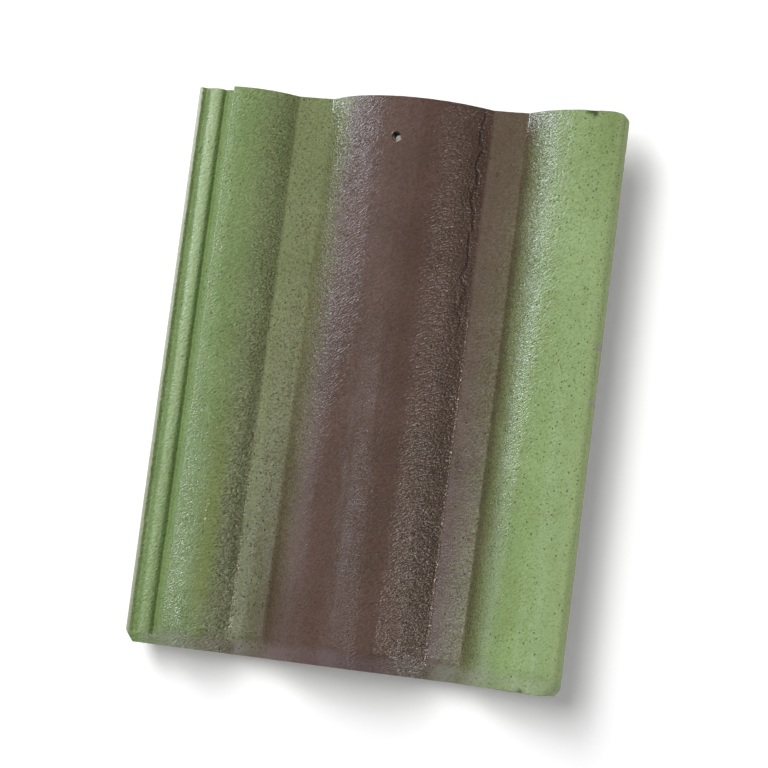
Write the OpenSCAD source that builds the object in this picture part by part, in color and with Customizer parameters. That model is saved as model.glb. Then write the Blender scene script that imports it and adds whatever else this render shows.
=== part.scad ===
// Interlocking roof tile: two flat pans between low rolls, a grooved lock along the left side,
// a covering edge along the right side, a bevelled tail, hanging nibs, weather bars and a nail hole.
// Millimetres. X runs across the tile, Y from the tail to the head, Z up from the floor that the tile lies on.

/* [Overall] */
// Width across both side locks
tile_w = 330; // [300:1:360]
// Length from the tail to the head
tile_l = 420; // [360:1:480]
// Thickness of the body
body_t = 12; // [9:0.5:15]

/* [Rolls and pans] */
// Width of each flat pan
pan_w = 26; // [18:0.5:34]
// Height of the full rolls over the pans
roll_rise = 28; // [22:0.5:34]
// Height of the part roll beside the left lock
side_roll_rise = 20; // [17:0.5:24]
// Roundness of the rolls, from zero for a plain ridge to one for a plain arc
roundness = 0.73; // [0.5:0.01:0.9]
// Distance from the right side to the crown of the right roll
crown_inset = 14.5; // [12:0.5:18]
// Distance from the left lock's riser to the crown of the part roll
side_crown_offset = 5; // [2:0.5:8]

/* [Left lock] */
// Width of the lock, from the left side to its riser
lock_w = 31; // [28:0.5:36]
// Height of the lip and rib tops over the pans
lock_top = 8.5; // [7:0.5:11]
// Height of the ledge and the channel floor over the pans
ledge_z = 5.7; // [4.5:0.1:6.5]
// Height of the lock's underside over the pans, below zero
lock_under = -4; // [-6:0.5:-2]
// Width of the outer lip
lip_w = 3.5; // [2.5:0.5:5]
// Width of the outer channel
channel_w = 5.5; // [4.5:0.5:7]
// Width of the rib
rib_w = 9.5; // [8:0.5:11]
// Width of the inner groove
groove_w = 4.5; // [3.5:0.5:6]
// Depth of the inner groove below the ledge
groove_depth = 3; // [1.5:0.5:4]
// Thickness of the riser between lock and roll
riser_t = 11; // [8:0.5:13]

/* [Right edge] */
// Radius of the rounded right edge
edge_r = 8; // [5:0.5:9]
// Width of the turned-down edge
edge_lip_w = 8; // [6:0.5:10]
// Width of the tongue that runs in the next tile's outer channel
tongue_w = 3; // [2:0.5:4]
// Clearance over the next tile's ledge and channel floor
lock_gap = 1.5; // [0.8:0.1:2.5]
// Clearance between the right edge and the next tile's riser
lap_gap = 1; // [0.5:0.1:2]

/* [Tail] */
// Length of the bevel along the tail
nose_l = 14.5; // [10:0.5:22]
// Drop of the bevel at the tail
nose_drop = 5; // [2:0.5:7]
// Small step down where the bevel starts
nose_set_back = 0.3; // [0.2:0.1:0.6]
// Length of the bevel on the left lock
lock_nose_l = 9; // [8.5:0.5:10]
// Distance from the tail to the lock's channels
channel_start = 7.5; // [5:0.5:8]
// Clipped left corner, across the tile
clip_x = 6.5; // [4:0.5:9]
// Clipped left corner, along the tile
clip_y = 9.5; // [6:0.5:12]
// Radius of the right corner at the tail
tail_corner_r = 9; // [5:0.5:12]
// Radius of the right corner at the head
head_corner_r = 4; // [2:0.5:8]

/* [Nibs] */
// Depth of the hanging nibs below the pans
nib_depth = 12; // [8:0.5:16]
// Width of a nib
nib_w = 28; // [20:1:32]
// Thickness of a nib at its root
nib_t = 18; // [14:0.5:22]
// Thickness of a nib at its foot
nib_foot_t = 13; // [8:0.5:14]
// Distance from the head to the nibs
nib_set_in = 5; // [2:0.5:10]

/* [Weather bars] */
// Depth of the bars below the pans
bar_depth = 12; // [6:0.5:16]
// Depth of the bars inside the rolls
arch_bar_depth = 4; // [2:0.5:6]
// Thickness of a bar
bar_t = 7; // [5:0.5:10]
// Distance from the tail to the first bar
bar_start = 5; // [3:0.5:10]
// Gap between the two bars
bar_gap = 13; // [8:0.5:24]

/* [Nail hole] */
// Diameter of the nail hole
nail_d = 6; // [4:0.5:8]
// Distance from the head to the nail hole
nail_from_head = 30; // [25:0.5:40]
// Distance of the nail hole from the crown of the middle roll, towards the lock
nail_aside = 2.5; // [0:0.5:6]

/* [Hidden] */
// Longest straight piece of an arc, and the fewest pieces of any arc
arc_piece = 4;
arc_least = 8;
// Reach of the cutters past what they cut
past = 20;
// How far the bars, nibs and tongue are keyed into the body
key = 3;

// In the section, the pans' upper face is at height zero
pan_under = -body_t;
floor_z = pan_under - max(nib_depth, bar_depth);

// One tile covers two rolls and two pans
cover_w = tile_w - lock_w + lap_gap;
roll_pitch = cover_w / 2;
roll_half = (roll_pitch - pan_w) / 2;
right_crown_x = tile_w - crown_inset;
mid_crown_x = right_crown_x - roll_pitch;
first_pan_x = mid_crown_x - roll_half - pan_w;
second_pan_x = first_pan_x + roll_pitch;
side_crown_x = lock_w + side_crown_offset;
side_half = first_pan_x - side_crown_x;

channel_end = lip_w + channel_w;
rib_end = channel_end + rib_w;
groove_end = rib_end + groove_w;
tongue_x = cover_w + lip_w + channel_w / 2;
lip_x = tile_w - edge_lip_w;
lock_foot_z = ledge_z + lock_gap;
nose_angle = atan(nose_drop / nose_l);

// Slope of a roll's flanks where they leave the pans
function flank(half, rise) = (1 + roundness) * atan(rise / half);

// Radius of the crown that meets such flanks on both sides
function crown_r(half, rise) =
    let (slope = flank(half, rise))
    (half * tan(slope) - rise) / (1 / cos(slope) - 1);

// Direction from the crown's centre to the point at distance dx beside the crown, sunk by depth
function crown_angle(half, rise, depth, dx) = acos(dx / (crown_r(half, rise) - depth));

// Height of the crown arc at that point
function crown_z(half, rise, depth, dx) =
    rise - crown_r(half, rise) + sqrt(pow(crown_r(half, rise) - depth, 2) - dx * dx);

// Points along an arc about c from angle a to angle b
function arc(c, r, a, b) =
    let (n = max(arc_least, ceil(PI * r * abs(b - a) / 180 / arc_piece)))
    [for (i = [0:n]) c + r * [cos(a + (b - a) * i / n), sin(a + (b - a) * i / n)]];

// A roll's line from its left foot to its right foot, sunk by depth square to its surface,
// or only from one direction of the crown's centre or up to another
function roll(x, half, rise, depth, from, to) =
    let (
        slope = flank(half, rise),
        foot = half - depth * tan(slope / 2),
        r = crown_r(half, rise),
        a = is_undef(from) ? 90 + slope : from,
        b = is_undef(to) ? 90 - slope : to
    )
    concat(
        is_undef(from) ? [[x - foot, -depth]] : [],
        arc([x, rise - r], r - depth, a, b),
        is_undef(to) ? [[x + foot, -depth]] : []
    );

// The three rolls, sunk by depth, the outer ones cut off at a distance from the left side
function side_roll(depth, start_x) =
    let (a = crown_angle(side_half, side_roll_rise, depth, start_x - side_crown_x))
    roll(side_crown_x, side_half, side_roll_rise, depth, from = a);
function mid_roll(depth) = roll(mid_crown_x, roll_half, roll_rise, depth);
function right_roll(depth, end_x) =
    let (b = crown_angle(roll_half, roll_rise, depth, end_x - right_crown_x))
    roll(right_crown_x, roll_half, roll_rise, depth, to = b);

// Upper line of the body, from a point at or just past the riser to the rounded right edge
function upper_line(start_x) =
    let (
        edge_x = tile_w - edge_r,
        dx = edge_x - right_crown_x,
        a = crown_angle(roll_half, roll_rise, edge_r, dx),
        edge = arc([edge_x, crown_z(roll_half, roll_rise, edge_r, dx)], edge_r, a, 0)
    )
    concat(
        side_roll(0, start_x),
        mid_roll(0),
        roll(right_crown_x, roll_half, roll_rise, 0, to = a),
        [for (i = [1:len(edge) - 1]) edge[i]]
    );

// Lower line of the body, from the riser to the turned-down edge
function lower_line() = concat(
    [[lock_w + riser_t, lock_under]],
    side_roll(body_t, lock_w + riser_t),
    mid_roll(body_t),
    right_roll(body_t, lip_x),
    [[lip_x, lock_foot_z], [tile_w, lock_foot_z]]
);

function reversed(points) = [for (i = [len(points) - 1:-1:0]) points[i]];

// Section of the body, with the lock still a plain flange
module section() {
    lock = [[0, lock_under], [0, lock_top], [lock_w, lock_top]];
    polygon(concat(lock, upper_line(lock_w), reversed(lower_line())));
}

// The tongue under the right roll
module tongue_section() {
    top = crown_z(roll_half, roll_rise, body_t, tongue_x - right_crown_x) + key;
    translate([tongue_x - tongue_w / 2, lock_foot_z]) square([tongue_w, top - lock_foot_z]);
}

// A weather bar's section: it arches inside the two full rolls and stands deep under the pans
module bar_section() {
    arch_sink = body_t + arch_bar_depth;
    bar_z = pan_under - bar_depth;
    left = first_pan_x - body_t * tan(flank(side_half, side_roll_rise) / 2);
    foot_in = body_t * tan(flank(roll_half, roll_rise) / 2);
    upper = concat([[left, pan_under + key]], mid_roll(body_t - key), right_roll(body_t - key, lip_x));
    lower = concat(
        [[left, bar_z], [first_pan_x + pan_w + foot_in, bar_z]],
        mid_roll(arch_sink),
        [[second_pan_x - foot_in, bar_z], [second_pan_x + pan_w + foot_in, bar_z]],
        right_roll(arch_sink, lip_x)
    );
    polygon(concat(upper, reversed(lower)));
}

// What is cut out of the lock's flange: the outer channel, the inner groove and the ledge
module lock_channels() {
    slope = channel_w / 4;
    polygon([
        [lip_w, lock_top], [lip_w + slope, ledge_z], [channel_end - slope, ledge_z],
        [channel_end, lock_top], [channel_end, lock_top + past], [lip_w, lock_top + past]
    ]);
    polygon([
        [rib_end, lock_top], [rib_end + groove_w / 3, ledge_z - groove_depth], [groove_end, ledge_z],
        [lock_w, ledge_z], [lock_w, lock_top + past], [rib_end, lock_top + past]
    ]);
}

// A section drawn upright and carried along Y, from one distance from the tail to another
module along(from, to) {
    translate([-tile_w / 2, to - tile_l / 2, 0]) rotate([90, 0, 0]) linear_extrude(to - from) children();
}

// A hanging nib under each pan, upright on the side that bears on the batten
module nibs() {
    nib_foot = pan_under - nib_depth;
    for (x = [first_pan_x, second_pan_x])
        translate([x + (pan_w - nib_w - tile_w) / 2, tile_l / 2 - nib_set_in - nib_t, 0]) rotate([90, 0, 90])
            linear_extrude(nib_w)
                polygon([
                    [0, pan_under + key], [0, nib_foot], [nib_foot_t, nib_foot],
                    [nib_t, pan_under], [nib_t, pan_under + key]
                ]);
}

// The wedge above the tail that leaves the bevel: the upper line carried down a slope
module nose_cutter() {
    lock_line = lock_top + (nose_l - lock_nose_l) * tan(nose_angle);
    start_x = lock_w + nose_set_back;
    body_line = [for (p = upper_line(start_x)) p - [0, nose_set_back]];
    last = body_line[len(body_line) - 1];
    high = roll_rise + past;
    outline = concat(
        [[-past, high], [-past, lock_line], [start_x, lock_line]],
        body_line,
        [last + [past, 0], [last[0] + past, high]]
    );
    intersection() {
        translate([-tile_w / 2, nose_l - tile_l / 2, 0]) rotate([90 + nose_angle, 0, 0])
            translate([0, 0, -2 * past]) linear_extrude(nose_l + 4 * past)
                polygon([for (p = outline) [p[0], p[1] * cos(nose_angle)]]);
        translate([-tile_w, -tile_l / 2 - past, lock_under]) cube([2 * tile_w, past + nose_l, high - lock_under]);
    }
}

// The clipped left corner and the two rounded right corners, seen from above
module corner_cutters() {
    low = floor_z - past;
    tall = roll_rise - low + past;
    translate([-tile_w / 2, -tile_l / 2, low]) linear_extrude(tall)
        polygon([[-past, -past], [clip_x, -past], [clip_x, 0], [0, clip_y], [-past, clip_y]]);
    for (corner = [[-1, tail_corner_r], [1, head_corner_r]])
        translate([tile_w / 2 - corner[1], corner[0] * (tile_l / 2 - corner[1]), low])
            difference() {
                translate([0, corner[0] > 0 ? 0 : -past, 0]) cube([past, past, tall]);
                translate([0, 0, -1]) cylinder(h = tall + 2, r = corner[1], $fn = 96);
            }
}

// The nail hole, upright through the middle roll beside its crown
module nail_hole() {
    translate([mid_crown_x - nail_aside - tile_w / 2, tile_l / 2 - nail_from_head, pan_under])
        cylinder(h = roll_rise - pan_under + past, d = nail_d, $fn = 48);
}

// The body with everything that stands under it
module blank() {
    along(0, tile_l) section();
    along(0, tile_l) tongue_section();
    for (start = [bar_start, bar_start + bar_t + bar_gap]) along(start, start + bar_t) bar_section();
    nibs();
}

// The blank with its tail bevelled
module bevelled_blank() {
    difference() {
        blank();
        nose_cutter();
    }
}

// The bevelled blank with its corners clipped and rounded
module trimmed_blank() {
    difference() {
        bevelled_blank();
        corner_cutters();
    }
}

module roof_tile() {
    color("#7f9a5f") translate([0, 0, -floor_z]) difference() {
        trimmed_blank();
        along(channel_start, tile_l + past) lock_channels();
        nail_hole();
    }
}

roof_tile();
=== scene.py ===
"""Looks of one interlocking roof tile: moss green coat, brown sprayed band and thin sealer on concrete."""

import math
from types import SimpleNamespace

import bpy
import numpy as np
from mathutils import Euler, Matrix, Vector


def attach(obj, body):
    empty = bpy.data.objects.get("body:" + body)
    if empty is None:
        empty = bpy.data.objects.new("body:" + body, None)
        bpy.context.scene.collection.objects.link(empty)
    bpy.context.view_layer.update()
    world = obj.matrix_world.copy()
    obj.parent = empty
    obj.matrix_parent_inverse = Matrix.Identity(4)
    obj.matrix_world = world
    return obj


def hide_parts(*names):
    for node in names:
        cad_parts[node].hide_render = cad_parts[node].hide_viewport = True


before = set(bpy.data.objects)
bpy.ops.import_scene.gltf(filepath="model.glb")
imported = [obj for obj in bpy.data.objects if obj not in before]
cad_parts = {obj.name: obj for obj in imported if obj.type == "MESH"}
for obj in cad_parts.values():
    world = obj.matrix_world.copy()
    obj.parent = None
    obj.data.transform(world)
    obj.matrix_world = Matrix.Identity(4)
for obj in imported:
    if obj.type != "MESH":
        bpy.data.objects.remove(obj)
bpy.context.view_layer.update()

# Sizes in millimetres: X across from the lock, Y from the tail to the head, Z over the pans
TILE_W = 330.0
TILE_L = 420.0
BODY_T = 12.0
PAN_W = 26.0
FLOOR_Z = -24.0
ROUNDNESS = 0.73

# The three rolls: crown across the tile, half width at the foot, height over the pans
SIDE_ROLL = (36.0, 41.5, 20.0)
MID_ROLL = (165.5, 62.0, 28.0)
RIGHT_ROLL = (315.5, 62.0, 28.0)
FIRST_PAN = 77.5
SECOND_PAN = 227.5

# Creases where rolls meet pans, and the left feet of the middle and right rolls
CREASES = (FIRST_PAN, FIRST_PAN + PAN_W, SECOND_PAN, SECOND_PAN + PAN_W)
ROLL_FEET = CREASES[1::2]

# The left lock and its riser
LOCK_W = 31.0
LOCK_TOP = 8.5
LEDGE_Z = 5.7
LOCK_UNDER = -4.0
RISER_IN = 42.0
LOCK_LINE = [
    (0.0, 7.6), (0.7, 8.3), (1.7, LOCK_TOP), (2.7, 8.3), (3.6, 7.4), (4.6, 6.1), (5.4, 5.7), (6.4, 5.9),
    (8.2, 6.9), (10.0, 7.8), (11.8, 8.35), (13.4, LOCK_TOP), (15.2, 8.35), (16.8, 7.8), (18.0, 6.9),
    (18.9, 5.7), (19.6, 4.3), (20.2, 3.6), (20.9, 4.0), (22.0, 5.1), (23.2, LEDGE_Z), (LOCK_W, LEDGE_Z),
]

# The right edge and the tongue beside it
EDGE_R = 8.0
EDGE_IN = 322.0
EDGE_FOOT = 7.2
TONGUE = (304.75, 307.75)

# The tail's bevel, the corners, the rims of both ends and the nail hole
NOSE_L = 14.5
NOSE_SLOPE = 5.0 / 14.5
LOCK_NOSE_L = 9.0
CHANNEL_START = 7.5
CLIP_X = 6.5
CLIP_Y = 9.5
TAIL_CORNER_R = 9.0
HEAD_CORNER_R = 4.0
TAIL_RIM = 0.8
HEAD_RIM = 0.6
HOLE_X = 163.0
HOLE_Y = 390.0
HOLE_R = 3.0
HOLE_REACH = 9.0

# The hanging nibs under the head, and the angle that their rim turns through
NIB_FRONT = 397.0
NIB_HALF_W = 14.0
NIB_RIM = 1.6
NIB_TURN = 1.571

# The weather bars under the tail, and where their foot goes down to the floor (one) or follows a roll (zero)
BAR_STARTS = (5.0, 25.0)
BAR_W = 7.0
BAR_RIM = 1.4
BAR_STEPS = [
    (72.6, 1.0), (108.1, 1.0), (109.7, 0.0), (221.3, 0.0),
    (222.9, 1.0), (258.1, 1.0), (259.7, 0.0), (323.0, 0.0),
]

# Chips and knocks: place across and along, reach across and along, depth, how bare they are and how much
# painted shade they get
CHIPS = [
    (306.5, 420.5, 4.8, 3.6, 1.7, 0.0, 1.0),
    (308.5, 418.5, 2.4, 3.4, 1.7, 0.0, 1.0),
    (303.5, 0.0, 1.5, 2.6, 1.4, 0.0, 1.0),
    (330.0, 250.0, 2.0, 2.2, 0.5, 1.0, 0.0),
    (330.0, 210.5, 1.6, 1.8, 0.4, 1.0, 0.0),
]

# Step at which the section is first laid out
STEP = 0.2


def drift(u, v, wave, seed, count=20):
    """Smooth random field of about unit size: a sum of cosines over the plane (u, v), whose
    directions and phases come from a seed and whose wavelengths spread about one length."""
    rng = np.random.default_rng(seed)
    shape = (count,) + (1,) * np.ndim(u)
    turn = rng.uniform(0.0, 2.0 * np.pi, count).reshape(shape)
    number = (2.0 * np.pi / (wave * rng.uniform(0.7, 1.5, count))).reshape(shape)
    phase = rng.uniform(0.0, 2.0 * np.pi, count).reshape(shape)
    field = np.cos(number * (np.cos(turn) * u[None] + np.sin(turn) * v[None]) + phase)
    return field.sum(axis=0) / math.sqrt(count / 2.0)


def smooth_step(low, high, value):
    """Zero below low, one above high, and a cubic S between them."""
    t = np.clip((value - low) / (high - low), 0.0, 1.0)
    return t * t * (3.0 - 2.0 * t)


def soft_ramp(value, blend):
    """Zero for negative values and the value itself for positive ones, rounded over the blend length."""
    return 0.5 * (value + np.sqrt(value * value + blend * blend))


def quarter_round(distance, radius):
    """How far a quarter circle stands back at a distance from its start: its radius at zero, nothing
    past it."""
    inside = np.clip(radius - distance, 0.0, radius)
    return radius - np.sqrt(np.maximum(radius ** 2 - inside ** 2, 0.0))


def roll_arc(half, rise):
    """Slope of a roll's flanks and radius of its crown: the flank leans more than the line from foot to
    crown, by the roundness, and the radius is the one whose circle touches the crown and both
    flanks."""
    slope = (1.0 + ROUNDNESS) * math.atan(rise / half)
    return slope, (half * math.tan(slope) - rise) / (1.0 / math.cos(slope) - 1.0)


def roll_line(x, roll, depth):
    """Height of a roll at x, sunk by depth square to its surface: a circle about the crown,
    then straight flanks tangent to it, down to the pan's line sunk by the same depth."""
    crown, half, rise = roll
    slope, radius = roll_arc(half, rise)
    r = radius - depth
    dx = np.abs(x - crown)
    join = r * math.sin(slope)
    arc = rise - radius + np.sqrt(np.maximum(r * r - dx * dx, 0.0))
    flank = rise - radius + r * math.cos(slope) - (dx - join) * math.tan(slope)
    return np.maximum(np.where(dx < join, arc, flank), -depth)


def body_line(x, depth):
    """Height of the whole body at x, sunk by depth: the highest of the three rolls and the pans."""
    rolls = [roll_line(x, roll, depth) for roll in (SIDE_ROLL, MID_ROLL, RIGHT_ROLL)]
    return np.maximum.reduce(rolls)


def along_line(points):
    """Points at an even step along a broken line, corners kept in order, the last point left out."""
    reach = np.concatenate([[0.0], np.cumsum(np.hypot(*np.diff(points[:, :2], axis=0).T))])
    at = np.linspace(0.0, reach[-1], int(round(reach[-1] / STEP)), endpoint=False)
    return np.stack([np.interp(at, reach, column) for column in points.T], axis=1)


def section_loop():
    """The tile's section as one closed line, clockwise: from the crown of the middle roll along the
    upper side to the right edge, back along the underside, up the left side and over the lock. A third
    value runs with it: one on the upper side, zero on the underside and in between on the two sides."""
    crown, half, rise = RIGHT_ROLL
    radius = roll_arc(half, rise)[1]
    edge_x = TILE_W - EDGE_R
    edge_z = rise - radius + math.sqrt((radius - EDGE_R) ** 2 - (edge_x - crown) ** 2)
    lean = math.asin((edge_x - crown) / (radius - EDGE_R))

    def line(points, top):
        points = np.asarray(points, float)
        return np.column_stack([points, np.broadcast_to(top, len(points))])

    def over(x):
        return line(np.stack([x, body_line(x, 0.0)], axis=1), 1.0)

    def under(a, b):
        x = np.linspace(a, b, max(2, int(abs(b - a) / STEP)))
        return line(np.stack([x, body_line(x, BODY_T)], axis=1), 0.0)

    turn = np.linspace(math.pi / 2.0 - lean, 0.0, 60)
    edge = np.stack([edge_x + EDGE_R * np.cos(turn), edge_z + EDGE_R * np.sin(turn)], axis=1)
    first = along_line(np.concatenate([
        over(np.arange(HOLE_X, edge_x + EDGE_R * math.sin(lean), STEP)), line(edge, 1.0),
        line([(TILE_W, EDGE_FOOT), (EDGE_IN, EDGE_FOOT)], 0.0), under(EDGE_IN, TONGUE[1]),
        line([(TONGUE[1], EDGE_FOOT), (TONGUE[0], EDGE_FOOT)], 0.0), under(TONGUE[0], HOLE_X),
    ]))
    second = along_line(np.concatenate([
        under(HOLE_X, RISER_IN), line([(RISER_IN, LOCK_UNDER), (0.0, LOCK_UNDER)], 0.0),
        line(LOCK_LINE, 1.0), over(np.arange(LOCK_W, HOLE_X + 0.1, STEP)),
    ]))
    return np.concatenate([first, second]), len(first)


def softened(loop, reach):
    """A closed row of evenly stepped values, averaged with a bell of the given reach along it."""
    wave = np.fft.fftfreq(len(loop), d=STEP)
    bell = np.exp(-2.0 * (np.pi * reach * wave) ** 2)[:, None]
    return np.fft.ifft(np.fft.fft(loop, axis=0) * bell, axis=0).real


def picked(loop, half_way):
    """Places along the section at which the mesh has its columns: close over the lock, the creases, the
    right edge and the nail hole, wider on the open upper side and widest underneath."""
    x, z, top = loop.T
    upper = top > 0.5
    lock = x < 33.0
    from_crease = np.abs(x[:, None] - np.array(CREASES)).min(axis=1)
    space = np.where(upper, 1.95, 4.8)
    for spot, width in (
        ((x > 300.0) & ~upper, 1.9),
        ((x > 318.0) & upper, 1.0),
        (lock & (z > LOCK_UNDER + 1.0), 0.8),
        (lock & (z <= LOCK_UNDER + 1.0), 3.0),
        (upper & (from_crease < 3.0), 0.8),
        (np.abs(x - HOLE_X) < HOLE_REACH, 1.0),
    ):
        space = np.where(spot, width, space)
    step = np.hypot(*(np.roll(loop, -1, axis=0) - loop)[:, :2].T)
    total = np.concatenate([[0.0], np.cumsum(step / space)])

    def share(a, b):
        cells = int(round(total[b] - total[a]))
        want = np.linspace(total[a], total[b], cells, endpoint=False)
        return np.interp(want, total, np.arange(len(total)))

    first = share(0, half_way)
    return np.concatenate([first, share(half_way, len(loop))]), len(first)


def sampled(values, at):
    """Values of a closed row of samples at fractional places, by straight interpolation."""
    ring = np.concatenate([values, values[:1]])
    return np.interp(at, np.arange(len(ring)), ring)


def row_places():
    """Distances from the tail at which the mesh has its rows: close at both ends, along the bevel and
    about the nail hole, with one row through the middle of the hole."""
    quarter = 1.0 - np.cos(np.linspace(0.0, math.pi / 2.0, 6))
    nose_end, head_start = 20.0, 413.5
    tail = TAIL_RIM * quarter
    head = TILE_L - HEAD_RIM * quarter[::-1]
    nose = np.linspace(TAIL_RIM, nose_end, 24)[1:]
    about_hole = np.linspace(HOLE_Y - HOLE_REACH, HOLE_Y + HOLE_REACH, 19)
    middle = np.linspace(nose_end, HOLE_Y - HOLE_REACH, 152)[1:-1]
    past_hole = np.linspace(HOLE_Y + HOLE_REACH, head_start, 8)[1:]
    last = np.linspace(head_start, head[0], 9)[1:-1]
    rows = np.concatenate([tail, nose, middle, about_hole, past_hole, last, head])
    return rows, int(np.argmin(np.abs(rows - HOLE_Y)))


def knocks(x, y):
    """Depth, bareness and painted shade of the chips at each point: flat-topped bells about their places, the
    highest one counting."""
    marks = np.zeros((3,) + np.broadcast(x, y).shape)
    for at_x, at_y, wide, long, *amounts in CHIPS:
        bell = np.exp(-((x - at_x) / wide) ** 4 - ((y - at_y) / long) ** 4)
        marks = np.maximum(marks, np.array(amounts)[:, None, None] * bell)
    return marks


def corner_shift(sx, y):
    """How far the skin moves across at three corners: a straight clip at the tail's left corner, and
    quarter circles at both right corners, each fading out within a few millimetres of its side."""
    clip = CLIP_X * np.clip(1.0 - y / CLIP_Y, 0.0, 1.0)
    draw = quarter_round(y, TAIL_CORNER_R) + quarter_round(TILE_L - y, HEAD_CORNER_R)
    return clip * np.clip((10.0 - sx) / 10.0, 0.0, 1.0) - draw * np.clip((sx - 316.0) / 14.0, 0.0, 1.0)


def unevenness(sx, y, top, lower_side):
    """Height that the drawn upper side loses and the rougher underside gains: sums of random fields of
    several lengths, cut off so that neither side ever stands out past its plain section."""
    across, length = np.broadcast_arrays(sx, y)
    ripple = 0.09 * drift(across, length / 14.0, 13.0, 3) + 0.05 * drift(across, length, 9.0, 5)
    ripple = ripple + 0.09 * drift(across, length, 34.0, 7)
    hollow = smooth_step(0.5, 1.0, top) * np.clip(0.25 - ripple, 0.0, 0.8)
    rough = 0.35 + 0.2 * drift(across, length, 14.0, 9) + 0.2 * drift(across, length, 37.0, 11)
    return np.where(lower_side, np.clip(rough, 0.0, 1.0), -hollow)


def tile_shell():
    """The tile's skin on a grid of section places by distances from the tail. Each point is the softened
    section's point, then lowered by the tail's bevel, drawn in at the corners and at both ends' rounded
    rims, and pressed in by shallow random fields for the sandy, drawn surface."""
    loop, half_way = section_loop()
    soft = softened(loop, 0.55)
    tangent = (np.roll(soft, -1, axis=0) - np.roll(soft, 1, axis=0))[:, :2]
    tangent = softened(tangent / np.hypot(*tangent.T)[:, None], 1.6)
    at, under_crown = picked(loop, half_way)
    rows, hole_row = row_places()

    sx, sz, top = (sampled(soft[:, k], at)[:, None] for k in range(3))
    in_x, in_z = sampled(tangent[:, 1], at)[:, None], -sampled(tangent[:, 0], at)[:, None]
    y = rows[None, :]
    top = smooth_step(0.02, 0.98, top)
    lower_side = top < 0.5

    # The lock's channels stop short of the tail
    lock = (sx < LOCK_W + 0.4) & ~lower_side & (sz < LOCK_TOP + 0.3)
    flat = np.where(lock & (sx > 1.6), LOCK_TOP, sz)
    open_channel = smooth_step(CHANNEL_START - 1.4, CHANNEL_START + 1.0, y)
    z = flat + (sz - flat) * open_channel

    # The bevel along the tail, shorter on the lock
    body_drop = NOSE_SLOPE * soft_ramp(NOSE_L - y, 4.0) - NOSE_SLOPE * soft_ramp(NOSE_L - TILE_L, 4.0)
    lock_cut = LOCK_TOP - NOSE_SLOPE * soft_ramp(LOCK_NOSE_L - y, 1.0)
    bevelled = z - top * body_drop
    gentle = sampled(softened(loop, 5.0)[:, 1] - soft[:, 1], at)[:, None]
    near = smooth_step(16.0, 9.0, np.abs(sx - np.array(CREASES)).min(axis=1, keepdims=True))
    bevelled = bevelled + np.where(lower_side, 0.0, near * gentle) * smooth_step(17.0, 7.0, y)
    riser = (sx < LOCK_W + 3.0) & ~lower_side
    bevelled = np.where(riser, lock_cut + soft_ramp(bevelled - lock_cut, 0.6), bevelled)
    z = np.where(lock, np.minimum(z, lock_cut), bevelled)
    x = sx + 0.0 * y

    # The tail stands a little further out beside its right corner
    recess = 1.1 * (1.0 - smooth_step(303.0, 307.0, sx) + smooth_step(319.0, 326.0, sx))
    y = y + recess * np.clip(1.0 - y / NOSE_L, 0.0, 1.0)

    # The corners, and the rounded rims at both ends
    x = x + corner_shift(sx, y)
    rim = quarter_round(y, TAIL_RIM) + quarter_round(TILE_L - y, HEAD_RIM)
    closed = np.where(lock & (sx > 1.6), 1.0 - open_channel, 0.0)
    x = x + in_x * (1.0 - closed) * rim
    z = z + (in_z * (1.0 - closed) - closed) * rim

    z = z + unevenness(sx, y, top, lower_side)
    z = z - top * knocks(x, y)[0]
    points = np.stack([x, y + 0.0 * x, z], axis=2)
    return points, top, under_crown, hole_row


def ring_about(points, column, row, half, reach, mouth):
    """Square rings of grid points about one point turned into circles: the inmost ring gets the mouth's
    radius, and further rings go over to the plain grid. Gives the inmost ring in order of angle."""
    columns, rows = points.shape[:2]
    span = np.arange(-half - reach, half + reach + 1)
    di, dj = np.meshgrid(span, span, indexing="ij")
    ring = np.maximum(np.abs(di), np.abs(dj))
    i, j = (column + di) % columns, row + dj
    place = points[i, j].copy()
    middle = points[column, row].copy()
    side = np.sign(points[(column + 1) % columns, row, 0] - middle[0])
    safe = np.maximum(ring, 1)
    wide = np.abs(di) >= np.abs(dj)
    angle = np.where(
        wide,
        np.pi / 4.0 * dj / safe * np.sign(di) + np.where(di < 0, np.pi, 0.0),
        np.pi / 2.0 * np.sign(dj) - np.pi / 4.0 * di / safe * np.sign(dj),
    )
    angle = np.where(side < 0, np.pi - angle, angle)
    uneven = mouth * (1.0 - 0.10 * np.cos(2.0 * angle - 0.5) + 0.07 * np.cos(3.0 * angle - 1.0))
    radius = uneven + (ring - half)
    share = smooth_step(0.0, 1.0, (ring - half) / reach)
    round_x = middle[0] + radius * np.cos(angle)
    round_y = middle[1] + radius * np.sin(angle)
    moved = ring >= half
    place[..., 0] = np.where(moved, round_x + (place[..., 0] - round_x) * share, place[..., 0])
    place[..., 1] = np.where(moved, round_y + (place[..., 1] - round_y) * share, place[..., 1])
    points[i, j] = place
    on_ring = np.flatnonzero(ring == half)
    order = on_ring[np.argsort(np.mod(angle.ravel()[on_ring], 2.0 * np.pi))]
    inside = ring < half
    return (i.ravel()[order], j.ravel()[order]), (i[inside], j[inside])


def hole_wall(points, upper, lower, levels=7):
    """The nail hole's wall between two rings of the skin: rings whose radius falls quickly from the
    chipped mouth to the bore and narrows a little towards a burr at the foot."""
    top, foot = points[upper], points[lower]
    t = np.linspace(0.0, 1.0, levels + 1)[1:-1, None] ** 1.5
    angle = np.linspace(0.0, 2.0 * np.pi, len(top), endpoint=False)
    bore = HOLE_R + 0.12 * np.cos(3.0 * angle) * np.exp(-3.0 * t) - 0.8 * smooth_step(0.35, 0.8, t)
    x = HOLE_X + bore * np.cos(angle)
    y = HOLE_Y + bore * np.sin(angle)
    z = top[:, 2] + (foot[:, 2] - top[:, 2]) * t
    return np.stack([x, y, z], axis=2)


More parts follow.
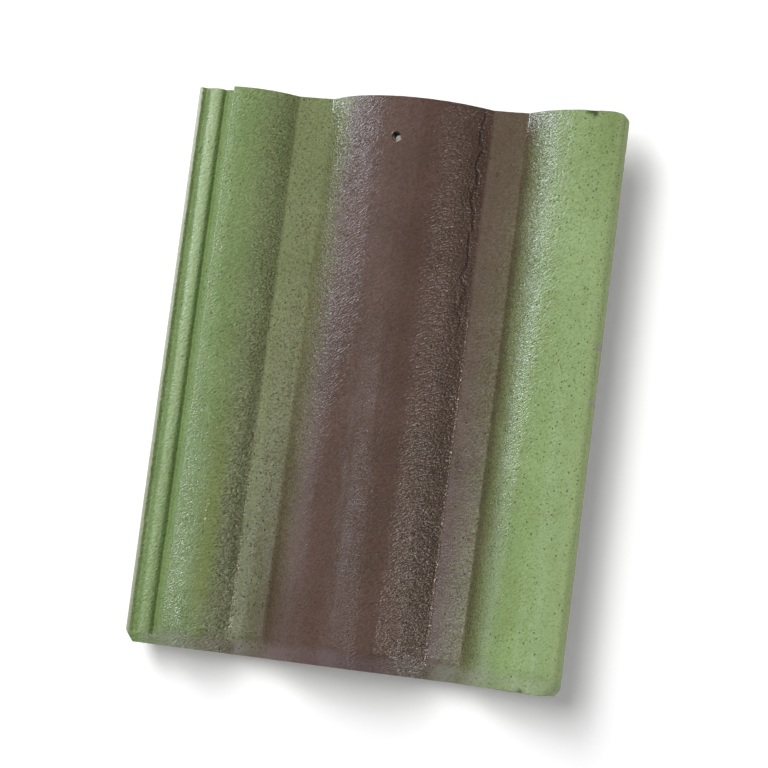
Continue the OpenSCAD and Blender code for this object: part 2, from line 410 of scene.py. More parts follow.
def quads_of(columns, rows):
    """Corner numbers of every cell of a grid, numbered column by column, its columns closed to a ring."""
    j = np.arange(rows - 1)[None, :]
    here = np.arange(columns)[:, None] * rows + j
    beside = (np.arange(columns)[:, None] + 1) % columns * rows + j
    return np.stack([here, beside, beside + 1, here + 1], axis=-1).reshape(-1, 4)


def nib(centre_x):
    """A hanging nib: a rounded rectangle carried down from the pan, upright towards the batten and sloping
    towards the head, with its foot's rim rounded off."""
    u = np.linspace(0.0, 2.0 * np.pi, 56, endpoint=False)[None, :]
    sides = np.linspace(-9.0, FLOOR_Z + NIB_RIM, 9)
    turn = np.linspace(0.0, NIB_TURN, 7)[1:]
    z = np.concatenate([sides, FLOOR_Z + NIB_RIM * (1.0 - np.sin(turn))])[:, None]
    rim = quarter_round(z - FLOOR_Z, NIB_RIM)
    back = np.interp(-z, [9.0, 12.0, 24.0], [415.0, 415.0, 410.0])
    power = 2.0 / 9.0
    cosine, sine = np.cos(u), np.sin(u)
    x = centre_x + (NIB_HALF_W - rim) * np.sign(cosine) * np.abs(cosine) ** power
    deep = 0.5 * (back - NIB_FRONT) - rim
    y = 0.5 * (NIB_FRONT + back) + deep * np.sign(sine) * np.abs(sine) ** power
    return np.stack([x, y, z + 0.0 * x], axis=2).transpose(1, 0, 2)


def weather_bar(start_y):
    """A weather bar: an upright U-shaped outline across the bar carried along X, its foot deep under the
    pans and following the rolls inside them, its top sunk into the body."""
    x = np.concatenate([
        np.linspace(72.6, 107.9, 20), np.linspace(108.2, 110.2, 5), np.linspace(112.0, 219.0, 60),
        np.linspace(220.8, 222.8, 5), np.linspace(223.1, 257.9, 20), np.linspace(258.2, 260.2, 5),
        np.linspace(262.0, 323.0, 40),
    ])[:, None]
    deep = np.interp(x, *zip(*BAR_STEPS))
    arch = np.maximum(roll_line(x, MID_ROLL, BODY_T + 4.0), roll_line(x, RIGHT_ROLL, BODY_T + 4.0))
    foot = arch + (FLOOR_Z - arch) * deep
    top = body_line(x, BODY_T) + 3.0
    turn = np.linspace(0.0, math.pi / 2.0, 5)
    near, far = BAR_RIM * (1.0 - np.cos(turn)), BAR_RIM * (1.0 - np.sin(turn))
    across = np.concatenate([[0.0], near, BAR_W - far, [BAR_W]])[None, :]
    rise = np.concatenate([[0.0], far, near, [0.0]])[None, :]
    at_top = np.zeros_like(across)
    at_top[0, 0] = at_top[0, -1] = 1.0
    z = (foot + rise) * (1.0 - at_top) + top * at_top
    y = start_y + across + 0.0 * x
    return np.stack([x + 0.0 * across, y, z], axis=2)


def ring_ends(columns, rows, start):
    """The two end faces of a grid whose columns close to a ring: its first and last rows."""
    ring = np.arange(columns) * rows + start
    return [ring.tolist(), (ring + rows - 1)[::-1].tolist()]


def worn_and_shaded_places(points, top):
    """Shares of bare concrete and of painted shade at each point of the skin: bare where the upper side's
    share has run out, on the lip, at the head's rim, at the hole's mouth and in pale chips; painted shade in
    the other chips."""
    x, y = points[..., 0], points[..., 1]
    worn = 0.5 * drift(x, y, 6.0, 21) + 0.5 * drift(x, y, 2.6, 22)
    side = 1.0 - smooth_step(0.02, 0.16, top + 0.03 * worn)
    lip = 1.0 - smooth_step(1.9, 3.6, x + 0.2 * worn)
    head = smooth_step(TILE_L - 0.35, TILE_L - 0.05, y + 0.05 * worn)
    aside, along = x - HOLE_X, y - HOLE_Y
    about = np.arctan2(along, aside)
    lower_right = smooth_step(0.75, 0.97, np.cos(about + 0.9))
    upper_left = 0.7 * smooth_step(0.85, 0.98, np.cos(about - 2.4))
    mouth = top * smooth_step(4.9, 4.2, np.hypot(aside, along)) * np.maximum(lower_right, upper_left)
    chipped, dark = knocks(x, y)[1:]
    bare = np.maximum.reduce([side, lip, head * (1.0 - dark), mouth, chipped])
    return np.clip(bare, 0.0, 1.0), top * dark


def tile_mesh():
    """The whole tile as one mesh: the skin with its hole and two end faces, the nibs and the bars. Corners
    carry the shares of bare concrete and of painted shade in chips and the hole, and all end faces are bare."""
    points, top, under_crown, hole_row = tile_shell()
    columns, rows = points.shape[:2]
    upper, upper_in = ring_about(points, 0, hole_row, 3, 5, 3.6)
    lower, lower_in = ring_about(points, under_crown, hole_row, 3, 5, 3.3)
    wall = hole_wall(points, upper, lower)
    bare, painted_shade = worn_and_shaded_places(points, top)

    number = np.arange(columns * rows).reshape(columns, rows)
    gone = np.zeros((columns, rows), bool)
    gone[upper_in] = True
    gone[lower_in] = True
    quads = quads_of(columns, rows)
    vertices, coats, painted_shades = [points.reshape(-1, 3)], [bare.ravel()], [painted_shade.ravel()]
    faces = [quads[~gone.ravel()[quads].any(axis=1)]]
    ends = [number[:, 0][::-1].tolist(), number[:, -1].tolist()]
    count = columns * rows

    # The hole's wall, ring by ring from the mouth down
    levels, around = wall.shape[:2]
    inner = count + np.arange(levels * around).reshape(levels, around)
    rings = np.concatenate([number[upper][None], inner, number[lower][None]])
    after = np.roll(rings, -1, axis=1)
    faces.append(np.stack([rings[:-1], after[:-1], after[1:], rings[1:]], axis=-1).reshape(-1, 4))
    vertices.append(wall.reshape(-1, 3))
    coats.append(np.zeros(levels * around))
    # The hole's wall gets full painted shade
    painted_shades.append(np.ones(levels * around))
    count += levels * around

    # The nibs, whose rings run the other way round, and the weather bars
    shells = [(nib(pan + PAN_W / 2.0), True) for pan in (FIRST_PAN, SECOND_PAN)]
    shells += [(weather_bar(start).transpose(1, 0, 2), False) for start in BAR_STARTS]
    for piece, turned in shells:
        wide, tall = piece.shape[:2]
        cells = quads_of(wide, tall) + count
        faces.append(cells[:, ::-1] if turned else cells)
        for end in ring_ends(wide, tall, count):
            ends.append(end if turned else end[::-1])
        vertices.append(piece.reshape(-1, 3))
        coats.append(np.ones(wide * tall))
        painted_shades.append(np.zeros(wide * tall))
        count += wide * tall

    faces = np.concatenate(faces)
    used = np.zeros(count, bool)
    used[faces.ravel()] = True
    renumber = np.cumsum(used) - 1
    faces = renumber[faces]
    ends = [renumber[np.array(end)].tolist() for end in ends]
    vertices = np.concatenate(vertices)[used] + np.array([-TILE_W / 2.0, -TILE_L / 2.0, -FLOOR_Z])

    mesh = bpy.data.meshes.new("tile_body")
    mesh.from_pydata((vertices / 1000.0).tolist(), [], faces.tolist() + ends)
    smooth = np.ones(len(faces) + len(ends), bool)
    smooth[len(faces):] = False
    mesh.polygons.foreach_set("use_smooth", smooth)
    corners = np.concatenate([faces.ravel()] + ends)
    for name, shares, at_ends in (("bare", coats, 1.0), ("painted_shade", painted_shades, 0.0)):
        values = np.concatenate(shares)[used][corners]
        values[faces.size:] = at_ends
        mesh.attributes.new(name, "FLOAT", "CORNER").data.foreach_set("value", values.astype(np.float32))
    mesh.update()
    mesh.validate()
    return mesh


class Graph:
    """Short ways to add and link the nodes of one shader tree. A value is a number, a colour or a
    node's output."""

    def __init__(self, tree):
        self.tree = tree

    def add(self, kind, **settings):
        """A new node with its settings made."""
        node = self.tree.nodes.new(kind)
        for name, value in settings.items():
            setattr(node, name, value)
        return node

    def put(self, socket, value):
        """A value linked or written into a node's input."""
        if isinstance(value, bpy.types.NodeSocket):
            self.tree.links.new(value, socket)
        else:
            socket.default_value = value

    def math(self, operation, *values, clamp=False):
        """One sum, difference or the like of the values."""
        node = self.add("ShaderNodeMath", operation=operation, use_clamp=clamp)
        for socket, value in zip(node.inputs, values):
            self.put(socket, value)
        return node.outputs[0]

    def product(self, first, *others):
        """All the values multiplied together."""
        for other in others:
            first = self.math("MULTIPLY", first, other)
        return first

    def highest(self, first, *others):
        """The highest of the values."""
        for other in others:
            first = self.math("MAXIMUM", first, other)
        return first

    def apart(self, first, second):
        """How far two values lie apart."""
        return self.math("ABSOLUTE", self.math("SUBTRACT", first, second))

    def fit(self, value, low, high, to_low=0.0, to_high=1.0, smooth=True):
        """A value taken from one range to another and held at its ends, by a cubic S or a straight line."""
        node = self.add("ShaderNodeMapRange", interpolation_type="SMOOTHSTEP" if smooth else "LINEAR")
        names = ("Value", "From Min", "From Max", "To Min", "To Max")
        for name, item in zip(names, (value, low, high, to_low, to_high)):
            self.put(node.inputs[name], item)
        return node.outputs[0]

    def falling(self, value, low, high):
        """One below low, zero above high, and a cubic S between them."""
        return self.fit(value, low, high, 1.0, 0.0)

    def band(self, value, start, full, fade, end):
        """Zero outside start and end, one between full and fade, and cubic S curves between them."""
        return self.product(self.fit(value, start, full), self.falling(value, fade, end))

    def noise(self, place, scale, detail=2.0, rough=0.5, distort=0.0):
        """A cloudy field of values about one half."""
        node = self.add("ShaderNodeTexNoise")
        self.put(node.inputs["Vector"], place)
        names = ("Scale", "Detail", "Roughness", "Distortion")
        for name, value in zip(names, (scale, detail, rough, distort)):
            self.put(node.inputs[name], value)
        return node.outputs["Fac"]

    def cells(self, place, scale):
        """Distance from the nearest of many scattered points, and that point's own three random values."""
        node = self.add("ShaderNodeTexVoronoi", feature="F1")
        self.put(node.inputs["Vector"], place)
        self.put(node.inputs["Scale"], scale)
        values = self.add("ShaderNodeSeparateColor")
        self.put(values.inputs[0], node.outputs["Color"])
        return node.outputs["Distance"], values.outputs

    def mark(self, name):
        """One of the mesh's own shares."""
        return self.add("ShaderNodeAttribute", attribute_name=name).outputs["Fac"]

    def blend(self, share, first, second, kind="MIX"):
        """The first colour going over to the second by a share."""
        node = self.add("ShaderNodeMix", data_type="RGBA", blend_type=kind)
        self.put(node.inputs[0], share)
        self.put(node.inputs[6], first)
        self.put(node.inputs[7], second)
        return node.outputs[2]

    def lay(self, coat, colour, *shares):
        """The coat with a colour laid over it, as thickly as all the shares multiplied."""
        return self.blend(self.product(*shares), coat, paint(*colour))

    def ramp(self, value, stops):
        """Colours or greys along a line of stops."""
        node = self.add("ShaderNodeValToRGB")
        self.put(node.inputs[0], value)
        marks = node.color_ramp.elements
        while len(marks) < len(stops):
            marks.new(1.0)
        for mark, (position, shade) in zip(marks, stops):
            mark.position = position
            mark.color = shade if isinstance(shade, tuple) else grey(shade)
        return node.outputs[0]


def grey(value):
    """One value in all three channels."""
    return (value, value, value, 1.0)


def paint(red, green, blue):
    """A colour written as shown on a screen, turned into the linear value that the shader reads."""
    shown = np.array([red, green, blue]) / 255.0
    linear = np.where(shown <= 0.04045, shown / 12.92, ((shown + 0.055) / 1.055) ** 2.4)
    return (*linear.tolist(), 1.0)


def tile_fields(g):
    """Places on the tile in millimetres, with the clouds, grains, droplets and regions that several
    steps share."""
    where = g.add("ShaderNodeTexCoord")
    mapping = g.add("ShaderNodeMapping")
    g.put(mapping.inputs["Vector"], where.outputs["Object"])
    mapping.inputs["Location"].default_value = (TILE_W / 2.0, TILE_L / 2.0, FLOOR_Z)
    mapping.inputs["Scale"].default_value = (1000.0, 1000.0, 1000.0)
    place = mapping.outputs[0]
    parts = g.add("ShaderNodeSeparateXYZ")
    g.put(parts.inputs[0], place)
    x, y = parts.outputs[0], parts.outputs[1]
    slant = g.add("ShaderNodeMapping", vector_type="TEXTURE")
    g.put(slant.inputs["Vector"], place)
    slant.inputs["Rotation"].default_value = (0.0, 0.0, math.radians(-52.0))
    slant.inputs["Scale"].default_value = (1.0, 2.9, 1.8)
    droplet_edge, droplet = g.cells(place, 1.0 / 1.7)
    return SimpleNamespace(
        place=place, x=x, y=y, across=g.math("DIVIDE", x, TILE_W),
        cloud=g.fit(g.noise(place, 1.0 / 60.0, 2.0), 0.35, 0.65),
        patch=g.noise(place, 1.0 / 17.0, 3.0),
        drops=g.noise(place, 1.0 / 1.9, 2.0),
        grain=g.noise(place, 1.0 / 1.3, 1.0),
        peel=g.noise(slant.outputs[0], 1.0, 1.0, 0.4, 0.3),
        mist=g.cells(place, 1.0 / 0.8)[1],
        droplet_edge=droplet_edge, droplet=droplet,
        on_part_roll=g.band(x, 30.0, 36.0, 70.0, 78.0),
        above_nose=g.fit(y, 7.0, 17.0),
    )


def spray_density(g, f):
    """Density of the brown spray: one ramp across the tile for the tail and one for the head, mixed by the
    distance along it, with an edge that wavers by up to 7 mm."""
    waver = g.math("MULTIPLY_ADD", f.patch, 14.0, -7.0)
    across = g.math("DIVIDE", g.math("ADD", f.x, waver), TILE_W)
    at_head = g.ramp(across, [
        (0.10, 0.0), (0.15, 0.13), (0.20, 0.30), (0.24, 0.46), (0.31, 0.42), (0.35, 0.60), (0.39, 0.93),
        (0.42, 1.0), (0.70, 1.0), (0.765, 0.95), (0.785, 0.72), (0.806, 0.50), (0.85, 0.20), (0.92, 0.08),
    ])
    at_tail = g.ramp(across, [
        (0.13, 0.0), (0.17, 0.24), (0.20, 0.47), (0.25, 0.71), (0.28, 0.88), (0.30, 0.98), (0.345, 0.97),
        (0.40, 1.0), (0.70, 0.95), (0.765, 0.72), (0.785, 0.56), (0.806, 0.36), (0.836, 0.13), (0.875, 0.0),
    ])
    return g.blend(g.math("DIVIDE", f.y, TILE_L, clamp=True), at_tail, at_head)


def green_coat(g, f):
    """Moss green: clouded, lighter on the right roll, paler on the lock's ledge, with a painted highlight
    along the lock's rib and painted light on the rounded right edge against its shade, and deeper in the
    head's right corner."""
    green = g.blend(f.cloud, paint(119, 143, 87), paint(128, 151, 96))
    lighter = g.blend(f.cloud, paint(143, 167, 110), paint(152, 176, 120))
    green = g.blend(g.fit(f.x, 250.0, 300.0), green, lighter)
    green = g.lay(green, (129, 147, 86), g.fit(f.patch, 0.45, 0.7), 0.3)
    rib, ledge = g.band(f.x, 8.5, 11.0, 16.5, 19.0), g.band(f.x, 22.0, 25.0, 33.0, 42.0)
    # Painted highlight along the crest of the lock's rib
    green = g.lay(green, (166, 187, 140), rib, g.fit(f.y, 0.0, TILE_L, 0.3, 0.95))
    green = g.lay(green, (146, 168, 118), ledge, g.fit(f.y, 60.0, 130.0, 0.0, 0.3))
    green = g.lay(green, (124, 145, 86), g.fit(f.x, 285.0, 325.0), g.fit(f.y, 330.0, 415.0), 0.8)
    # Painted light: the rounded right edge made paler against the shade it turns into
    green = g.lay(green, (164, 186, 134), g.fit(f.x, 312.0, 327.0), g.fit(f.y, 260.0, 360.0, 0.42, 0.0))
    return g.lay(green, (182, 204, 138), g.fit(f.x, 322.5, 328.5, 0.0, 0.7))


def brown_coat(g, f):
    """The spray's brown: clouded and flecked, with painted light on the middle roll's left flank, which faces
    the lamps, more earthy on the second pan and olive on the first."""
    brown = g.blend(f.cloud, paint(88, 67, 60), paint(96, 73, 67))
    brown = g.lay(brown, (108, 90, 78), g.fit(f.drops, 0.5, 0.8), 0.25)
    # Painted light on the middle roll's flank that faces left
    brown = g.lay(brown, (112, 94, 86), g.band(f.x, 104.0, 120.0, 140.0, 165.0), 0.1)
    second_pan = g.band(f.x, 226.0, 229.0, 252.0, 256.0)
    brown = g.lay(brown, (92, 79, 61), second_pan, g.fit(f.y, 120.0, 300.0, 0.0, 0.6))
    return g.lay(brown, (92, 85, 64), g.falling(f.x, 98.0, 108.0))


def sprayed_coat(g, f):
    """Green going over to olive and then brown by the spray's density, which is broken up by mist and
    drops where it is neither nothing nor full, with single droplets where it thins out."""
    density = spray_density(g, f)
    spread = g.math("ADD", g.math("SUBTRACT", f.mist[0], 0.5), g.math("MULTIPLY_ADD", f.drops, 0.5, -0.25))
    room = g.product(density, g.math("SUBTRACT", 1.04, density))
    covered = g.math("ADD", density, g.product(spread, room, 2.0))
    olive = g.blend(f.cloud, paint(118, 124, 84), paint(126, 131, 93))
    coat = g.blend(g.fit(covered, 0.0, 0.6), green_coat(g, f), olive)
    coat = g.blend(g.fit(covered, 0.5, 1.05), coat, brown_coat(g, f))

    # Single droplets, the fine mist on the right roll, and dark and pale specks on the part roll
    lone = g.product(g.band(density, 0.05, 0.5, 0.86, 0.99), g.math("LESS_THAN", f.droplet[1], 0.34))
    coat = g.lay(coat, (62, 60, 38), lone, g.falling(f.droplet_edge, 0.2, 0.42), 0.6)
    fine = g.math("LESS_THAN", f.mist[1], g.math("MULTIPLY_ADD", density, 0.9, 0.02))
    coat = g.lay(coat, (70, 68, 44), fine, g.fit(f.x, 252.0, 262.0), 0.32)
    coat = g.lay(coat, (70, 76, 40), g.math("LESS_THAN", f.mist[1], 0.16), f.on_part_roll, 0.30)
    return g.lay(coat, (168, 182, 128), g.math("GREATER_THAN", f.mist[2], 0.88), f.on_part_roll, 0.30)


def toned_coat(g, f, coat):
    """The coat with a tint all along the tail's bevel, partly the brown spray and partly painted light on its
    flanks that face right and on its green end, a yellower patch near it on the part roll, and painted shade
    in the relief's hollows where peel and grain lie low."""
    ragged_y = g.math("ADD", f.y, g.math("MULTIPLY_ADD", f.patch, 12.0, -6.0))
    nose = g.product(g.falling(ragged_y, 8.0, 16.0), g.fit(f.x, 6.0, 24.0), 0.75)
    # Tint along the bevel: the spray's brown, with painted light lifting the flanks that face right and the
    # green right end against the bevel's shade
    nose_overspray_and_painted_light = g.ramp(f.across, [
        (0.09, paint(136, 145, 116)), (0.19, paint(138, 133, 116)), (0.236, paint(120, 113, 99)),
        (0.31, paint(121, 112, 99)), (0.35, paint(117, 101, 97)), (0.55, paint(109, 91, 92)),
        (0.62, paint(122, 107, 104)), (0.69, paint(118, 112, 98)), (0.77, paint(130, 130, 108)),
        (0.84, paint(146, 158, 120)), (0.89, paint(160, 177, 134)), (0.99, paint(164, 182, 138)),
    ])
    coat = g.blend(nose, coat, nose_overspray_and_painted_light)
    sunny = g.product(g.band(f.x, 46.0, 55.0, 58.0, 68.0), g.band(f.y, 25.0, 50.0, 110.0, 220.0))
    coat = g.lay(coat, (120, 136, 58), sunny, 0.5)
    # Painted shade in the hollows of the peel and grain relief
    relief_height = g.math("ADD", g.product(f.peel, 0.6), g.product(f.grain, 0.6))
    shade = g.ramp(g.fit(relief_height, 0.42, 0.8, smooth=False), [(0.0, 0.74), (0.5, 0.97), (1.0, 1.0)])
    return g.blend(1.0, coat, shade, "MULTIPLY")


def shade_and_crack_coat(g, f, coat):
    """The coat with painted shade in the furrows of the flanks that face right, a crack along the middle
    roll's right foot, and painted shade in the creases at the left feet of the middle and right rolls. Gives
    the crack as well."""
    # Painted shade in the furrows of the flanks that face right, where the peel lies low
    furrow_shade_zone = g.highest(g.band(f.x, 54.0, 66.0, 76.0, 77.5), g.band(f.x, 194.0, 210.0, 226.0, 227.5))
    furrow_shade_zone = g.product(furrow_shade_zone, g.fit(f.y, 150.0, 330.0, 1.0, 0.25))
    coat = g.lay(coat, (44, 41, 29), g.falling(f.peel, 0.38, 0.5), furrow_shade_zone, f.above_nose, 0.45)
    crack_x = g.math("MULTIPLY_ADD", f.patch, 13.0, 215.5)
    crack = g.product(g.falling(g.apart(f.x, crack_x), 0.3, 1.5), g.fit(f.y, 230.0, 290.0))
    coat = g.lay(coat, (48, 36, 28), crack, 0.45)
    # Painted shade in the creases at the left feet of the middle and right rolls
    for foot, from_y, to_y, most in zip(ROLL_FEET, (60.0, 330.0), (300.0, 410.0), (0.26, 0.38)):
        beside = g.product(g.band(f.x, foot - 1.0, foot + 1.0, foot + 2.5, foot + 9.0), g.fit(f.y, 6.0, 50.0))
        coat = g.lay(coat, (52, 46, 34), beside, g.fit(f.y, from_y, to_y, most, 0.0))
    return coat, crack


def pitted_coat(g, f, coat):
    """The coat with dark pits: round spots about some of many scattered points, picked more often over
    the first pan, the right roll and the part roll. Gives the pits as well."""
    distance, chance = g.cells(f.place, 1.0 / 2.2)
    first_pan = g.band(f.x, 55.0, 85.0, 105.0, 130.0)
    right_roll = g.product(g.fit(f.x, 255.0, 285.0), g.fit(f.y, 60.0, 220.0, 0.25, 0.8))
    thick = g.highest(first_pan, right_roll, g.product(f.on_part_roll, 0.35))
    picked_out = g.math("GREATER_THAN", chance[0], g.math("MULTIPLY_ADD", thick, -0.40, 0.94))
    size = g.fit(chance[1], 0.0, 1.0, 0.17, 0.34, smooth=False)
    pit = g.product(g.falling(distance, g.product(size, 0.5), g.math("ADD", size, 0.05)), picked_out)
    return g.lay(coat, (46, 50, 30), pit, 0.7), pit


def scratched_and_shaded_coat(g, f, coat):
    """The coat with a slanting scratch across the lock's channel, and painted shade in the knocked
    edges' chips and on the nail hole's wall."""
    off_x, off_y = g.math("SUBTRACT", f.x, 6.4), g.math("SUBTRACT", f.y, 372.5)
    aside = g.apart(g.product(off_x, 0.93), g.product(off_y, 0.37))
    along = g.math("ABSOLUTE", g.math("ADD", g.product(off_x, 0.37), g.product(off_y, 0.93)))
    scratch = g.product(g.falling(aside, 0.3, 0.8), g.falling(along, 2.0, 3.6), 0.6)
    # Painted shade: the chips and the nail hole's wall darkened as if in shadow
    return g.lay(coat, (52, 58, 34), g.highest(scratch, g.product(g.mark("painted_shade"), 0.9)))


def bare_concrete(g, f):
    """Colour of the bare concrete, sandy and paler on the lip, and the share of it: the mesh's own
    share with an edge made ragged by the drops."""
    sand = g.blend(g.fit(f.grain, 0.3, 0.7), paint(150, 147, 132), paint(196, 193, 178))
    sand = g.lay(sand, (168, 164, 148), g.fit(f.patch, 0.4, 0.7), 0.5)
    lip = g.blend(g.fit(f.y, 0.0, TILE_L, smooth=False), paint(158, 167, 136), paint(206, 213, 196))
    sand = g.blend(g.fit(f.x, 4.0, 6.0, 0.75, 0.0), sand, lip)
    ragged = g.math("ADD", g.mark("bare"), g.math("MULTIPLY_ADD", f.drops, 0.5, -0.25))
    return sand, g.fit(ragged, 0.35, 0.65)


def lay_sealer(g, f, shader, bare):
    """Gloss of the clear sealer: thicker on the part roll near the tail, the right roll's flank and the
    left feet of two rolls near the head, pooled in creases and the lock, thin where it has worn. Gives
    how beaded it is."""
    part_roll = g.product(g.band(f.x, 27.0, 36.0, 48.0, 59.0), g.falling(f.y, 60.0, 260.0))
    thicker = g.highest(part_roll, g.product(g.band(f.x, 258.0, 266.0, 276.0, 296.0), 0.45))
    for foot in ROLL_FEET:
        beside = g.band(f.x, foot - 0.5, foot + 1.0, foot + 9.0, foot + 16.0)
        thicker = g.highest(thicker, g.product(beside, g.fit(f.y, 250.0, 400.0, 0.0, 0.9)))
    pools = [
        g.product(g.falling(g.apart(f.x, middle), 0.5, 1.2), g.falling(f.y, from_y, to_y))
        for middle, from_y, to_y in (
            (77.8, 120.0, 190.0), (227.8, 220.0, 300.0), (5.6, 400.0, 420.0), (17.5, 400.0, 420.0),
        )
    ]
    pooled = g.product(g.highest(*pools), g.fit(f.drops, 0.40, 0.50), f.above_nose)
    dry = g.product(g.band(f.x, 88.0, 96.0, 168.0, 182.0), g.falling(f.y, 30.0, 110.0))
    worn_flank = g.product(g.band(f.x, 114.0, 122.0, 138.0, 148.0), g.fit(f.y, 330.0, 395.0, 0.6, 0.0))
    thin = g.fit(g.highest(dry, worn_flank), 0.0, 1.0, 0.35, 0.16, smooth=False)
    shine = g.fit(g.highest(pooled, thicker), 0.0, 1.0, thin, 1.0, smooth=False)
    g.put(shader.inputs["Specular IOR Level"], shine)
    gloss = g.fit(g.math("ADD", f.peel, g.product(f.grain, 0.4)), 0.45, 0.95, 0.19, 0.30)
    gloss = g.blend(thicker, gloss, grey(0.15))
    gloss = g.blend(pooled, gloss, grey(0.12))
    dull = g.highest(bare, g.fit(f.x, TILE_W - 22.0, TILE_W, 0.0, 0.85))
    g.put(shader.inputs["Roughness"], g.blend(dull, gloss, grey(0.88)))
    return g.highest(g.product(part_roll, 0.5), g.product(pooled, 0.4))


def press_relief(g, f, shader, beaded, sunk):
    """Leathery relief: the peel's height times a depth that is great on the flanks, slight on crowns
    and pans, and fades towards the tail on flanks that face left; then grain and the sealer's beads,
    less pits and the crack."""
    at_head = g.ramp(f.across, [
        (0.23, 1.0), (0.237, 0.15), (0.312, 0.15), (0.322, 1.0), (0.45, 0.9), (0.50, 0.2), (0.56, 0.2),
        (0.62, 0.9), (0.685, 0.9), (0.692, 0.2), (0.766, 0.2), (0.776, 1.0), (0.89, 0.8), (0.95, 0.4),
    ])
    at_tail = g.ramp(f.across, [
        (0.23, 1.0), (0.237, 0.2), (0.312, 0.2), (0.32, 0.6), (0.37, 0.35), (0.50, 0.2), (0.54, 0.5),
        (0.58, 0.3), (0.615, 0.9), (0.685, 1.0), (0.692, 0.2), (0.766, 0.2), (0.776, 0.6), (0.83, 0.25),
        (0.95, 0.25),
    ])
    depth = g.blend(g.fit(f.y, 110.0, 350.0), at_tail, at_head)
    height = g.product(g.math("SUBTRACT", f.peel, 0.5), depth)
    height = g.math("ADD", height, g.math("MULTIPLY_ADD", f.grain, 0.16, -0.08))
    height = g.math("ADD", height, g.product(g.falling(f.droplet_edge, 0.05, 0.55), beaded))
    height = g.math("SUBTRACT", height, g.product(sunk, 0.4))
    bump = g.add("ShaderNodeBump")
    bump.inputs["Strength"].default_value = 1.0
    bump.inputs["Distance"].default_value = 0.0009
    g.put(bump.inputs["Height"], height)
    g.put(shader.inputs["Normal"], bump.outputs[0])


def coat_material():
    """Moss green coat with a brown band sprayed along the middle, dark pits, a sandy skin under a thin
    sealer, and bare concrete where the mesh's share says so. Lengths in the tree are millimetres on the
    tile."""
    material = bpy.data.materials.new("sprayed_tile_coat")
    material.use_nodes = True
    shader = material.node_tree.nodes["Principled BSDF"]
    g = Graph(material.node_tree)
    f = tile_fields(g)
    coat = toned_coat(g, f, sprayed_coat(g, f))
    coat, crack = shade_and_crack_coat(g, f, coat)
    coat, pit = pitted_coat(g, f, coat)
    coat = scratched_and_shaded_coat(g, f, coat)
    sand, bare = bare_concrete(g, f)
    g.put(shader.inputs["Base Color"], g.blend(bare, coat, sand))
    beaded = lay_sealer(g, f, shader, bare)
    press_relief(g, f, shader, beaded, g.highest(pit, crack))
    return material


def floor_material():
    """Plain white floor, lifted to white where it is seen clear of the tile, so that only the shadow
    shows."""
    material = bpy.data.materials.new("white_floor")
    material.use_nodes = True
    g = Graph(material.node_tree)
    shader = material.node_tree.nodes["Principled BSDF"]
    shader.inputs["Base Color"].default_value = grey(0.96)
    shader.inputs["Roughness"].default_value = 1.0
    shader.inputs["Specular IOR Level"].default_value = 0.0
    shader.inputs["Emission Color"].default_value = grey(1.0)
    path = g.add("ShaderNodeLightPath")
    seen = g.highest(*(path.outputs[f"Is {kind} Ray"] for kind in ("Camera", "Glossy", "Transmission")))
    where = g.add("ShaderNodeTexCoord")
    parts = g.add("ShaderNodeSeparateXYZ")
    g.put(parts.inputs[0], where.outputs["Object"])
    under_x = g.falling(g.math("ABSOLUTE", parts.outputs[0]), 0.13, 0.15)
    under_y = g.falling(g.math("ABSOLUTE", parts.outputs[1]), 0.195, 0.208)
    clear = g.math("SUBTRACT", 1.0, g.product(under_x, under_y))
    g.put(shader.inputs["Emission Strength"], g.product(seen, clear, 0.16))
    return material


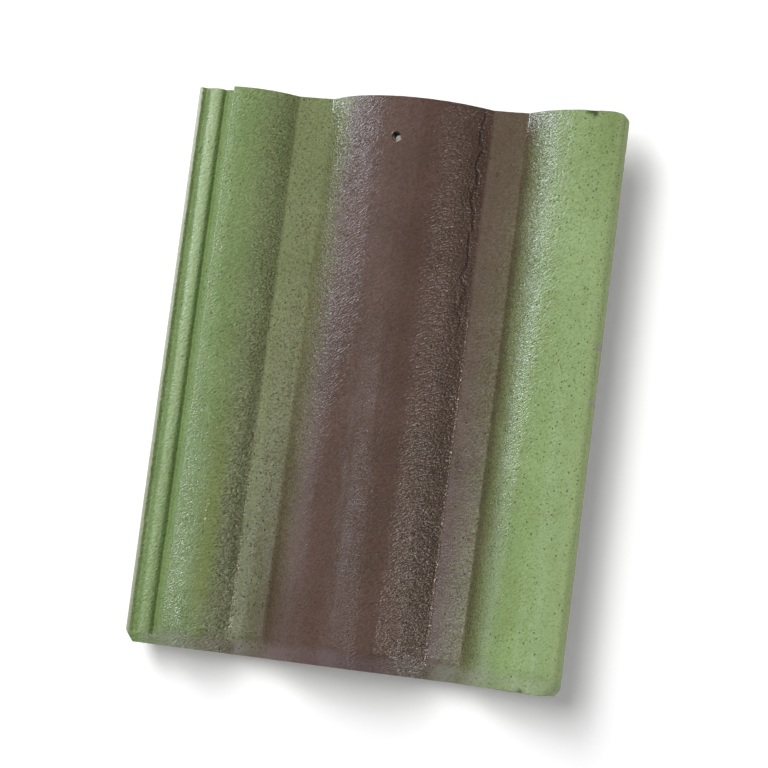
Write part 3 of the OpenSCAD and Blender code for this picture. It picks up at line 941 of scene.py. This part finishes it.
def studio():
    """White floor, wide soft lamps overhead and from the upper left, a weak fill from the right, small
    lamps that only show as sheen in the coat, and an even world around them."""
    span = np.array([(-1, -1), (1, -1), (1, 1), (-1, 1)]) * 6.0
    mesh = bpy.data.meshes.new("studio_floor")
    mesh.from_pydata([(a, b, -0.0004) for a, b in span.tolist()], [], [(0, 1, 2, 3)])
    floor = bpy.data.objects.new("studio_floor", mesh)
    mesh.materials.append(floor_material())
    bpy.context.scene.collection.objects.link(floor)

    # Where each lamp hangs, its width and height, power and tint, and whether it only shows in the gloss
    plain, cool, warm = (1.0, 1.0, 1.0), (0.78, 0.87, 1.0), (1.0, 0.90, 0.85)
    for name, spot, size, power, tint, glossy in (
        ("key_lamp", (-1.80, 2.60, 3.40), (2.0, 2.0), 92.0, plain, False),
        ("top_lamp", (-1.10, 1.15, 4.30), (2.8, 2.8), 120.0, plain, False),
        ("right_fill_lamp", (1.60, -0.90, 1.50), (1.0, 1.0), 3.0, plain, False),
        ("head_sheen_lamp", (-1.25, 0.66, 0.27), (0.9, 0.42), 14.0, cool, True),
        ("left_sheen_lamp", (-1.30, -0.15, 0.30), (1.6, 0.5), 3.5, cool, True),
        ("tail_sheen_lamp", (-0.50, -0.40, 1.95), (1.0, 0.7), 4.5, cool, True),
        ("roll_sheen_lamp", (-0.30, -0.30, 2.00), (0.22, 0.22), 3.0, cool, True),
        ("nose_sheen_lamp", (-0.49, -1.28, 1.39), (0.8, 0.5), 4.5, cool, True),
        ("right_sheen_lamp", (1.20, -0.42, 0.80), (0.6, 0.6), 13.0, warm, True),
    ):
        lamp = bpy.data.lights.new(name, "AREA")
        lamp.color = tint
        lamp.shape = "ELLIPSE"
        lamp.size, lamp.size_y = size
        lamp.energy = power
        holder = bpy.data.objects.new(name, lamp)
        holder.location = spot
        holder.rotation_euler = Vector(spot).to_track_quat("Z", "Y").to_euler()
        holder.visible_glossy = glossy
        holder.visible_diffuse = not glossy
        bpy.context.scene.collection.objects.link(holder)

    world = bpy.data.worlds.new("studio_world")
    world.use_nodes = True
    back = world.node_tree.nodes["Background"]
    back.inputs["Color"].default_value = (1.0, 1.0, 1.0, 1.0)
    back.inputs["Strength"].default_value = 0.15
    bpy.context.scene.world = world


def photo_camera():
    """Camera from the right of the tile's middle, looking down at it, as the photograph was taken."""
    lens = bpy.data.cameras.new("photo_camera")
    lens.sensor_width = 36.0
    lens.lens = 129.457
    lens.clip_end = 50.0
    camera = bpy.data.objects.new("photo_camera", lens)
    camera.location = (0.54389, -0.19981, 1.96388)
    camera.rotation_euler = Euler([math.radians(a) for a in (7.6645, 14.6557, 7.5781)], "XYZ")
    bpy.context.scene.collection.objects.link(camera)
    bpy.context.scene.camera = camera


photo_camera()
studio()

tile = bpy.data.objects.new("tile_body", tile_mesh())
tile.data.materials.append(coat_material())
bpy.context.scene.collection.objects.link(tile)
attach(tile, "root")
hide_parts("roof_tile")

bpy.context.scene.view_settings.view_transform = "Standard"
